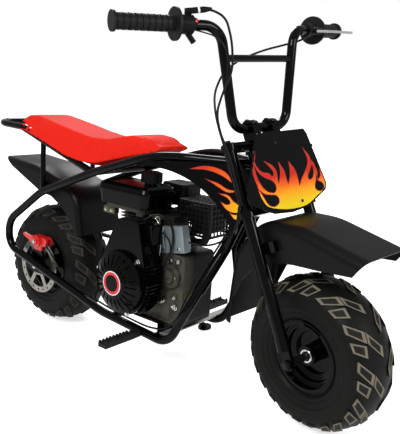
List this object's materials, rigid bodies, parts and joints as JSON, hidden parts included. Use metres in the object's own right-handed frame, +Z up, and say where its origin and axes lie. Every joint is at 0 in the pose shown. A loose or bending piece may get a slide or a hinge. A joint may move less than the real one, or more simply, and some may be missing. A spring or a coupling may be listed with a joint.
{
  "type": "off-road minibike",
  "caption": "Small off-road minibike leaning on its side stand: lugged tyres, looped tube frame, pull-start engine, chain drive, high handlebar and a front plate.",
  "frame": {"origin": "on the ground under the middle of the bike's bounding box", "axes": "+X forward, +Y to the rider's left, +Z up; the bike leans 8 degrees to +Y on its side stand"},
  "size_m": [1.3049, 0.7054, 0.9238],
  "materials": {
    "black_plastic": "matt black plastic",
    "frame_paint": "gloss black paint",
    "tank_paint": "gloss black paint",
    "caliper_red": "red anodised",
    "lever_alloy": "polished",
    "rotor_steel": "ground steel",
    "engine_alloy": "cast",
    "zinc_steel": "zinc plated",
    "black_steel": "gloss black paint",
    "peg_steel": "black painted steel",
    "cable_black": "black cable housing",
    "fork_paint": "gloss black paint",
    "fender_plastic": "matt black moulded plastic",
    "rim_black": "black painted pressed steel",
    "tyre": "matt lugged rubber",
    "grip_rubber": "soft black rubber",
    "exhaust_dark": "dark heated steel",
    "panel_gloss": "gloss black plastic with a flame pattern",
    "seat_vinyl": "bright red vinyl"
  },
  "bodies": {
    "frame": {"air_cleaner": "black_plastic", "axle_plates": "frame_paint", "blower_housing": "tank_paint", "brake_caliper": "caliper_red", "carburettor": "engine_alloy", "chain": "zinc_steel", "clutch": "zinc_steel", "clutch_cover": "black_steel", "cylinder_shield": "zinc_steel", "engine_block": "engine_alloy", "engine_plate": "frame_paint", "footpegs": "peg_steel", "frame_cables": "cable_black", "frame_loop_left": "frame_paint", "frame_loop_right": "frame_paint", "fuel_cap": "black_plastic", "fuel_tank": "tank_paint", "head_tube": "frame_paint", "muffler": "exhaust_dark", "muffler_guard": "exhaust_dark", "rear_axle": "zinc_steel", "rear_fender": "fender_plastic", "recoil_cover": "tank_paint", "seat": "seat_vinyl", "seat_rail": "frame_paint", "side_panels": "panel_gloss"},
    "fork": {"brake_lever": "lever_alloy", "fork_cables": "cable_black", "fork_legs": "fork_paint", "front_axle": "zinc_steel", "front_fender": "fender_plastic", "grip_left": "grip_rubber", "grip_right": "grip_rubber", "handlebar": "frame_paint", "lever_perch": "black_steel", "lower_clamp": "fork_paint", "number_plate": "panel_gloss", "throttle_housing": "black_plastic", "upper_clamp": "fork_paint"},
    "front_wheel": {"front_rim": "rim_black", "front_tyre": "tyre"},
    "rear_wheel": {"brake_rotor": "rotor_steel", "rear_rim": "rim_black", "rear_sprocket": "zinc_steel", "rear_tyre": "tyre"},
    "side_stand": {"side_stand": "frame_paint"}
  },
  "joints": [
    {"name": "steering", "type": "hinge", "parent": "frame", "child": "fork", "pos_m": [0.28855, -0.03588, 0.5311], "axis": [-0.4073, 0.1271, 0.9044], "range_deg": [-26, 44]},
    {"name": "front_wheel_spin", "type": "hinge", "parent": "fork", "child": "front_wheel", "pos_m": [0.474, -0.08921, 0.17983], "axis": [0.143, 0.9869, -0.0744], "continuous": true},
    {"name": "rear_wheel_spin", "type": "hinge", "parent": "frame", "child": "rear_wheel", "pos_m": [-0.43772, -0.08532, 0.17889], "axis": [0.0001, 0.9903, -0.1392], "continuous": true},
    {"name": "side_stand_fold", "type": "hinge", "parent": "frame", "child": "side_stand", "pos_m": [-0.06567, 0.03329, 0.09544], "axis": [0.0911, 0.7968, 0.5973], "range_deg": [0, 112]}
  ]
}
